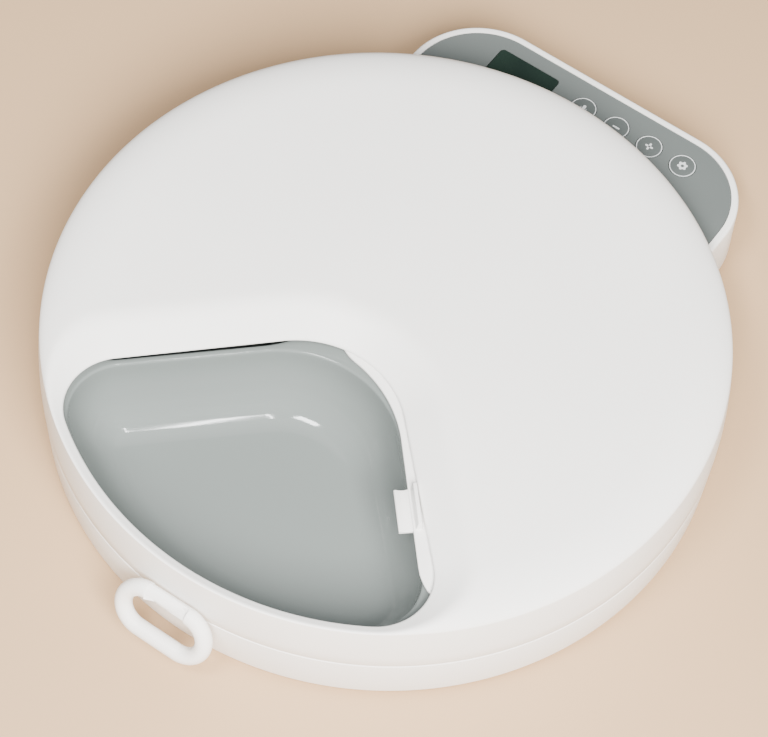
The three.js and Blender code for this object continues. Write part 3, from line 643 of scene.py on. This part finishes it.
bpy.ops.object.mode_set(mode="OBJECT")
for side in (-1, 1):
    pick_edges(ring, lambda spot: (
        abs(spot.x - side * ring_half_bar) < 0.5 * mm and spot.z > -ring_tube - mm
    ))
    bpy.ops.mesh.bevel(offset=0.35 * mm, segments=3, affect="EDGES")
    bpy.ops.object.mode_set(mode="OBJECT")


def add_rod(name, radius, half_length, y, z, vertices=48):
    """A cylinder along X."""
    bpy.ops.object.select_all(action="DESELECT")
    bpy.ops.mesh.primitive_cylinder_add(
        vertices=vertices, radius=radius, depth=2 * half_length,
        location=(0, y, z), rotation=(0, math.pi / 2, 0)
    )
    rod = bpy.context.object
    rod.name = name
    bpy.ops.object.transform_apply(location=True, rotation=True, scale=True)
    return rod


bar = add_rod("ring_bar", ring_bar, ring_half_bar + mm, 0, 0)
combine(ring, bar, "UNION")
ring.name = "finger_ring"
ring.data.transform(
    Matrix.Translation((0, ring_axis_y, ring_axis_z)) @ Matrix.Rotation(-ring_lean, 4, "X")
)
smooth(ring, 40)
fit(ring, white_shell, "pull_ring", "white_shell", "pull_ring")


barrel_half = 9.1 * mm
barrel_radius = 4.75 * mm
barrel = add_rod("ring_mount", barrel_radius, barrel_half, ring_axis_y, ring_axis_z, 64)
pick_edges(barrel, lambda spot: True)
bpy.ops.mesh.select_all(action="SELECT")
bpy.ops.mesh.bevel(offset=0.35 * mm, segments=3, affect="EDGES")
bpy.ops.object.mode_set(mode="OBJECT")
seat_half = 0.8 * barrel_radius
seat = add_block(
    "barrel_seat",
    (-barrel_half, ring_axis_y, ring_axis_z - seat_half),
    (barrel_half, -149.4 * mm, ring_axis_z + seat_half),
    0.3 * mm,
)
combine(barrel, seat, "UNION")
barrel_bore = add_rod("bore", ring_bar + 0.3 * mm, 12 * mm, ring_axis_y, ring_axis_z)
combine(barrel, barrel_bore, "DIFFERENCE")
smooth(barrel, 40)
fit(barrel, white_shell, "lid", "white_shell", "ring_barrel")

# Base housing -----------------------------------------------------------------------------------
# The round tub and the control housing behind it are one ABS moulding, with a battery bay and a
# speaker grille in the floor, seats for the feet and the bosses of the turntable's glides.

base_joint = 28 * mm
underside = 2 * mm
floor_top = 4.5 * mm
body_radius = 150 * mm
housing_half = 86 * mm
housing_rear = 182.6 * mm
housing_corner = 37.8 * mm
housing_top = 33 * mm
rim_width = 3.3 * mm
plate_bottom = 31.2 * mm


def round_uprights(block, corner, segments, wanted=lambda spot: True):
    """Rounds the block's upright edges that stand where `wanted` says."""
    select_only(block)
    bpy.ops.object.mode_set(mode="EDIT")
    bpy.ops.mesh.select_mode(type="EDGE")
    bpy.ops.mesh.select_all(action="DESELECT")
    bpy.ops.object.mode_set(mode="OBJECT")
    for edge in block.data.edges:
        low, high = (block.data.vertices[i].co for i in edge.vertices)
        edge.select = abs(low.z - high.z) > near and wanted(low)
    bpy.ops.object.mode_set(mode="EDIT")
    bpy.ops.mesh.bevel(offset=corner, segments=segments, affect="EDGES")
    bpy.ops.object.mode_set(mode="OBJECT")


def add_housing_block(name, inset, low, high, front=75 * mm):
    """A block with the control housing's two round rear corners, drawn in by `inset`."""
    half, rear = housing_half - inset, housing_rear - inset
    block = add_block(name, (-half, front, low), (half, rear, high))
    round_uprights(block, housing_corner - inset, 28, lambda spot: spot.y > rear - near)
    return block


def soften_level(piece, level, width, segments=4):
    pick_edges(piece, lambda spot: abs(spot.z - level) < 1e-6)
    bpy.ops.mesh.bevel(offset=width, segments=segments, affect="EDGES")
    bpy.ops.object.mode_set(mode="OBJECT")


tub = add_cylinder("housing_shell", body_radius, underside, base_joint, vertices=256)
for corner in tub.data.vertices:
    if corner.co.z < underside + near:
        corner.co.xy *= 148.6 / 150
soften_level(tub, underside, 2.2 * mm)
soften_level(tub, base_joint, 0.5 * mm)
tower = add_housing_block("tower", 0, underside, housing_top)
soften_level(tower, underside, 1.6 * mm)
soften_level(tower, housing_top, 1.3 * mm)
lid_space = add_cylinder("lid_space", 150.9 * mm, base_joint, 40 * mm, vertices=256)
combine(tower, lid_space, "DIFFERENCE")
combine(tub, tower, "UNION")

well = add_cylinder("well", 147.3 * mm, floor_top, 40 * mm, vertices=256)
bay_shell = add_block("bay_shell", (-57.8 * mm, 141 * mm, 0), (57.8 * mm, 183 * mm, 22.2 * mm))
combine(well, bay_shell, "DIFFERENCE")
combine(tub, well, "DIFFERENCE")
chamber = add_housing_block("chamber", 4.6 * mm, floor_top, 40 * mm)
front_column = add_cylinder("front_column", 152.7 * mm, 0, 50 * mm, vertices=256)
combine(chamber, front_column, "DIFFERENCE")
bay_block = add_block("bay_block", (-57.8 * mm, 141 * mm, 0), (57.8 * mm, 183 * mm, 22.2 * mm))
combine(chamber, bay_block, "DIFFERENCE")
combine(tub, chamber, "DIFFERENCE")
plate_seat = add_housing_block("plate_seat", rim_width, plate_bottom - 0.3 * mm, 40 * mm)
seat_space = add_cylinder("seat_space", 150.9 * mm, 0, 50 * mm, vertices=256)
combine(plate_seat, seat_space, "DIFFERENCE")
combine(tub, plate_seat, "DIFFERENCE")

lip_ring = add_cylinder("lip_ring", 147.0 * mm, 24 * mm, 30.5 * mm, vertices=256)
soften_level(lip_ring, 30.5 * mm, 0.5 * mm)
lip_root = add_cylinder("lip_root", 148.3 * mm, 24 * mm, 27 * mm, vertices=256)
combine(lip_ring, lip_root, "UNION")
lip_bore = add_cylinder("lip_bore", 144.7 * mm, 20 * mm, 40 * mm, vertices=256)
combine(lip_ring, lip_bore, "DIFFERENCE")
combine(tub, lip_ring, "UNION")

bay_half = 56 * mm
bay_front = 142.8 * mm
bay = add_block("bay", (-bay_half, bay_front, 4.2 * mm), (bay_half, 177.5 * mm, 20.4 * mm), 1 * mm)
combine(tub, bay, "DIFFERENCE")
doorway = add_block("doorway", (-54.3 * mm, 143.1 * mm, 0), (54.3 * mm, 190 * mm, 3.4 * mm))
combine(tub, doorway, "DIFFERENCE")
rails = add_block("rails", (-56.3 * mm, bay_front, 3.1 * mm), (56.3 * mm, 190 * mm, 4.8 * mm))
combine(tub, rails, "DIFFERENCE")

diagonals = [math.radians(45 + 90 * count) for count in range(4)]
for turn in diagonals:
    x, y = 100 * mm * math.cos(turn), 100 * mm * math.sin(turn)
    boss = add_cylinder("boss", 5.5 * mm, 4.2 * mm, 9.0 * mm, x, y, 48)
    combine(boss, add_cylinder("boss_hole", 2.8 * mm, 5.2 * mm, 12 * mm, x, y, 32), "DIFFERENCE")
    combine(tub, boss, "UNION")
foot_track = 125 * mm
foot_places = [(foot_track * math.cos(turn), foot_track * math.sin(turn)) for turn in diagonals]
for x, y in foot_places:
    combine(tub, add_cylinder("foot_seat", 9.3 * mm, 0, 3.2 * mm, x, y, 64), "DIFFERENCE")
combine(tub, add_cylinder("centre_seat", 12.3 * mm, 0, 3.2 * mm, vertices=64), "DIFFERENCE")
for x in (-23.5 * mm, 23.5 * mm):
    combine(tub, add_cylinder("screw_hole", 1.7 * mm, 0, 6 * mm, x, 0, 32), "DIFFERENCE")
speaker_x, speaker_y = 68 * mm, 152 * mm
grille_reach = 5 * mm
grille = [(0, 0)] + [
    (grille_reach * math.cos(math.radians(60 * i)), grille_reach * math.sin(math.radians(60 * i)))
    for i in range(6)
]
for x, y in grille:
    hole = add_cylinder("sound_hole", 1 * mm, 0, 6 * mm, speaker_x + x, speaker_y + y, 24)
    combine(tub, hole, "DIFFERENCE")
inlet = add_rod("inlet_hole", 4.5 * mm, 7 * mm, 141.5 * mm, 14 * mm)
inlet.data.transform(Matrix.Translation((-housing_half, 0, 0)))
combine(tub, inlet, "DIFFERENCE")
smooth(tub, 30)
fit(tub, white_shell, "housing", "white_shell", "base_housing")

# Battery door -----------------------------------------------------------------------------------
# A flat ABS door that slides out to the rear on two side flanges, with ribs to push against.

door = add_block("bay_door", (-54 * mm, 143.8 * mm, underside), (54 * mm, housing_rear, 3.5 * mm))
flange = add_block("door_flange", (-56 * mm, 143.8 * mm, 3.4 * mm), (56 * mm, housing_rear, floor_top))
combine(door, flange, "UNION")
for count in range(6):
    y = (168 + 2.2 * count) * mm
    rib = add_block("rib", (-16 * mm, y, 1.6 * mm), (16 * mm, y + 1.0 * mm, 2.4 * mm), 0.25 * mm)
    combine(door, rib, "UNION")
smooth(door, 30)
fit(door, white_shell, "battery_door", "white_shell", "battery_door")

# Feet -------------------------------------------------------------------------------------------
# Moulded rubber pads stuck in round seats in the floor, each with a rolled edge and a groove.

rubber, rubber_shader = new_material("rubber", 0.78)
rubber_grey = (0.22, 0.225, 0.23)
tint(rubber, rubber_shader, add_noise(rubber, 60, 4), soften(rubber_grey, 0.8), rubber_grey)
roughen(rubber, rubber_shader, add_noise(rubber, 1500, 4), 0.25, 0.0002)


def add_foot(name, radius, x, y):
    foot = add_cylinder(name, radius, 0, 2.9 * mm, x, y, 64)
    soften_level(foot, 0, 0.6 * mm)
    groove = add_cylinder("groove", radius * 0.62, -mm, 0.35 * mm, x, y, 64)
    combine(groove, add_cylinder("island", radius * 0.45, -2 * mm, 2 * mm, x, y, 64), "DIFFERENCE")
    combine(foot, groove, "DIFFERENCE")
    smooth(foot, 40)
    return foot


foot_names = ("foot_rear_right", "foot_rear_left", "foot_front_left", "foot_front_right")
for name, (x, y) in zip(foot_names, foot_places):
    fit(add_foot(f"pad_{name}", 9 * mm, x, y), rubber, "housing", "rubber", name)
fit(add_foot("pad_foot_centre", 12 * mm, 0, 0), rubber, "housing", "rubber", "foot_centre")

# Control panel ----------------------------------------------------------------------------------
# A satin grey top plate let into the housing's rim, with holes for the display and the keys.

grey_panel, panel_shader = new_material("grey_panel", 0.42)
panel_grey = (0.104, 0.117, 0.114)
tint(grey_panel, panel_shader, add_noise(grey_panel, 25), soften(panel_grey, 0.96), panel_grey)
vary_roughness(grey_panel, panel_shader, add_noise(grey_panel, 80, 3), 0.38, 0.46)
roughen(grey_panel, panel_shader, add_noise(grey_panel, 3200, 3), 0.06, 0.0001)

panel_top = 32.8 * mm
key_radius = 6.3 * mm
key_row = 165 * mm
key_pitch = 18.1 * mm
last_key = 49.7 * mm
key_names = ("microphone", "minus", "plus", "settings")
key_xs = [last_key - key_pitch * (3 - i) for i in range(4)]
display_low = (-54 * mm, 154.5 * mm)
display_high = (-22 * mm, 171.7 * mm)


def add_tablet(name, low, high, corner, bottom, top):
    """A block with its four upright edges rounded."""
    tablet = add_block(name, (*low, bottom), (*high, top))
    round_uprights(tablet, corner, 8)
    return tablet


def grown(spot, by):
    return (spot[0] + by, spot[1] + by)


panel = add_housing_block("top_panel", rim_width + 0.3 * mm, plate_bottom, panel_top)
combine(panel, add_cylinder("lid_side", 151.2 * mm, 0, 50 * mm, vertices=256), "DIFFERENCE")
display_hole = add_tablet(
    "display_hole", grown(display_low, -0.3 * mm), grown(display_high, 0.3 * mm), 2.3 * mm, 0, 40 * mm
)
combine(panel, display_hole, "DIFFERENCE")
for x in key_xs:
    key_hole = add_cylinder("key_hole", key_radius + 0.2 * mm, 0, 40 * mm, x, key_row, 72)
    combine(panel, key_hole, "DIFFERENCE")
smooth(panel, 30)
fit(panel, grey_panel, "housing", "grey_panel", "faceplate")

# Display window ---------------------------------------------------------------------------------
# A tinted acrylic lens over the display, green-black and polished, flush in the panel.

dark_lens, lens_shader = new_material("dark_lens", 0.07)
lens_dark = (0.010, 0.018, 0.015)
tint(dark_lens, lens_shader, add_noise(dark_lens, 30, 1), lens_dark, (0.014, 0.026, 0.020))
lens_shader.inputs["Coat Weight"].default_value = 0.15
lens_shader.inputs["Coat Roughness"].default_value = 0.03
lens = add_tablet("lens_window", display_low, display_high, 2 * mm, 31.4 * mm, 32.9 * mm)
soften_level(lens, 32.9 * mm, 0.25 * mm, 3)
smooth(lens, 30)
fit(lens, dark_lens, "housing", "dark_lens", "display_window")

# Keys -------------------------------------------------------------------------------------------
# Four round satin keys, each with a printed ring and a plain sign: a microphone, minus, plus and
# a cog. A flange under the panel keeps the key in, and it presses on its own switch.

key_grey_paint, key_shader = new_material("key_grey", 0.4)
key_grey = (0.082, 0.093, 0.091)
tint(key_grey_paint, key_shader, add_noise(key_grey_paint, 40), soften(key_grey, 0.96), key_grey)
roughen(key_grey_paint, key_shader, add_noise(key_grey_paint, 3200, 3), 0.06, 0.0001)
print_paint, print_shader = new_material("printed_sign", 0.5)
print_grey = (0.56, 0.58, 0.59)
tint(print_paint, print_shader, add_noise(print_paint, 300, 3), soften(print_grey, 0.92), print_grey)

key_top = 33 * mm
key_foot = 28.9 * mm
sign_height = 0.09 * mm


def add_key(name, x):
    key = add_cylinder(name, key_radius, 29.6 * mm, key_top, x, key_row, 72)
    soften_level(key, key_top, 0.3 * mm, 3)
    combine(key, add_cylinder("flange", 7.3 * mm, 29.6 * mm, 30.9 * mm, x, key_row, 72), "UNION")
    combine(key, add_cylinder("stem", 2 * mm, key_foot, 29.9 * mm, x, key_row, 32), "UNION")
    smooth(key, 30)
    return key


def add_printed_ring(radius, thickness, x, y):
    bpy.ops.object.select_all(action="DESELECT")
    bpy.ops.mesh.primitive_torus_add(
        major_segments=72, minor_segments=10, major_radius=radius, minor_radius=thickness,
        location=(x, y, key_top),
    )
    ring_mark = bpy.context.object
    bpy.ops.object.mode_set(mode="EDIT")
    bpy.ops.mesh.select_all(action="SELECT")
    bpy.ops.transform.resize(value=(1, 1, sign_height / thickness), center_override=(x, y, key_top))
    bpy.ops.object.mode_set(mode="OBJECT")
    bpy.ops.object.transform_apply(location=True, rotation=True, scale=True)
    return ring_mark


def add_printed_bar(x, y, width, height, degrees=0, about=None):
    low = (x - width / 2, y - height / 2, key_top - sign_height)
    high = (x + width / 2, y + height / 2, key_top + sign_height)
    stroke = add_block("stroke", low, high)
    round_uprights(stroke, 0.45 * min(width, height), 4)
    pivot = Vector((*(about or (x, y)), 0))
    spin = Matrix.Translation(pivot) @ Matrix.Rotation(math.radians(degrees), 4, "Z")
    stroke.data.transform(spin @ Matrix.Translation(-pivot))
    return stroke


def sign_microphone(x, y):
    capsule = add_printed_bar(x, y + 0.7 * mm, 1.5 * mm, 2.6 * mm)
    cradle = add_printed_ring(1.45 * mm, 0.2 * mm, x, y + 0.3 * mm)
    upper = add_block("upper", (x - 3 * mm, y + 0.3 * mm, 30 * mm), (x + 3 * mm, y + 4 * mm, 36 * mm))
    combine(cradle, upper, "DIFFERENCE")
    return [capsule, cradle, add_printed_bar(x, y - 1.6 * mm, 0.4 * mm, 0.9 * mm),
            add_printed_bar(x, y - 2.1 * mm, 1.7 * mm, 0.4 * mm)]


def sign_minus(x, y):
    return [add_printed_bar(x, y, 3.6 * mm, 0.8 * mm)]


def sign_plus(x, y):
    return [add_printed_bar(x, y, 4.0 * mm, 0.95 * mm), add_printed_bar(x, y, 0.95 * mm, 4.0 * mm)]


def sign_settings(x, y):
    teeth = [add_printed_bar(x, y + 1.95 * mm, 1.1 * mm, 0.9 * mm, 60 * i, (x, y)) for i in range(6)]
    return [add_printed_ring(1.35 * mm, 0.55 * mm, x, y)] + teeth


signs = {
    "microphone": sign_microphone, "minus": sign_minus,
    "plus": sign_plus, "settings": sign_settings,
}
for name, x in zip(key_names, key_xs):
    fit(add_key(f"cap_{name}", x), key_grey_paint, f"key_{name}", "grey_panel", f"key_{name}")
    ring_mark = add_printed_ring(5.85 * mm, 0.22 * mm, x, key_row)
    mark = join([ring_mark] + signs[name](x, key_row), f"sign_{name}")
    smooth(mark, 40)
    fit(mark, print_paint, f"key_{name}", "grey_panel")

# Inner works ------------------------------------------------------------------------------------
# The drive, turntable, electronics and cells keep their own solids. Each takes the finish of what
# it is made of: plated steel, green board, black and white plastic, printed sleeve or nickel.

steel, steel_shader = new_material("steel", 0.28, 1.0)
tint(steel, steel_shader, add_noise(steel, 120, 4), (0.50, 0.51, 0.53), (0.60, 0.61, 0.63))
vary_roughness(steel, steel_shader, add_noise(steel, 700, 3, (1, 1, 8)), 0.2, 0.38)
nickel, nickel_shader = new_material("magnet_nickel", 0.18, 1.0)
tint(nickel, nickel_shader, add_noise(nickel, 200, 3), (0.60, 0.60, 0.61), (0.68, 0.68, 0.69))
vary_roughness(nickel, nickel_shader, add_noise(nickel, 900, 2), 0.14, 0.24)
circuit_board, board_shader = new_material("circuit_board", 0.45)
tint(
    circuit_board, board_shader, add_noise(circuit_board, 420, 5),
    (0.012, 0.085, 0.038), (0.03, 0.15, 0.07), 0.48, 0.52
)
roughen(circuit_board, board_shader, add_noise(circuit_board, 420, 5), 0.3, 0.0001)
black_plastic, black_shader = new_material("black_plastic", 0.45)
tint(
    black_plastic, black_shader, add_noise(black_plastic, 50),
    (0.017, 0.017, 0.018), (0.025, 0.025, 0.027)
)
roughen(black_plastic, black_shader, add_noise(black_plastic, 2200, 3), 0.15, 0.0001)
inner_plastic, inner_shader = new_material("inner_plastic", 0.5)
tint(inner_plastic, inner_shader, add_noise(inner_plastic, 20), (0.66, 0.66, 0.64), (0.72, 0.72, 0.70))
roughen(inner_plastic, inner_shader, add_noise(inner_plastic, 1800, 3), 0.12, 0.0001)
cell_sleeve, sleeve_shader = new_material("cell_sleeve", 0.32)
tint(cell_sleeve, sleeve_shader, add_noise(cell_sleeve, 35, 3), (0.04, 0.12, 0.22), (0.06, 0.17, 0.30))
roughen(cell_sleeve, sleeve_shader, add_noise(cell_sleeve, 900, 2, (0.1, 1, 1)), 0.08, 0.0001)

finishes = {
    "steel": steel,
    "magnet_nickel": nickel,
    "circuit_board": circuit_board,
    "black_plastic": black_plastic,
    "inner_plastic": inner_plastic,
    "cell_sleeve": cell_sleeve,
}
for row in frame["record"]["subparts"]:
    if row["material_slot"] in finishes:
        node = frame["nodes"][row["node"]]
        node.data.materials.clear()
        node.data.materials.append(finishes[row["material_slot"]])
